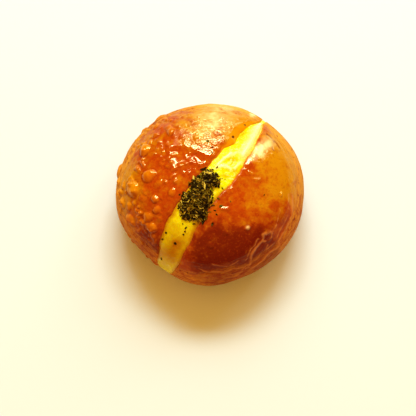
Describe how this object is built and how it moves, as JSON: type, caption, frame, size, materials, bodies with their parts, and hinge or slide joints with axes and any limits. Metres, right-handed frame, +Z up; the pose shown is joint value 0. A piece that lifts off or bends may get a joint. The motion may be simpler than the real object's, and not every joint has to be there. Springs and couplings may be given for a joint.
{
  "type": "egg salad bun",
  "caption": "Round glazed bread roll, cut open on a slant and filled with smooth yellow egg salad, with a heap of dried parsley on top.",
  "frame": {"origin": "middle of the bun's bounding box, on the surface that it stands on", "axes": "+Z up, +X to the right in the picture and along the bun's longest side, +Y away from the viewer; the cut runs from lower left (-X, -Y) to upper right (+X, +Y)"},
  "size_m": [0.1, 0.0964, 0.0554],
  "materials": {
    "crust": "glazed baked bread crust, orange-brown",
    "egg_salad": "moist smooth egg salad, yellow",
    "parsley": "dried parsley flakes, very dark green"
  },
  "bodies": {
    "root": {"bun": "crust", "egg_filling": "egg_salad", "parsley_heap": "parsley"}
  },
  "joints": []
}
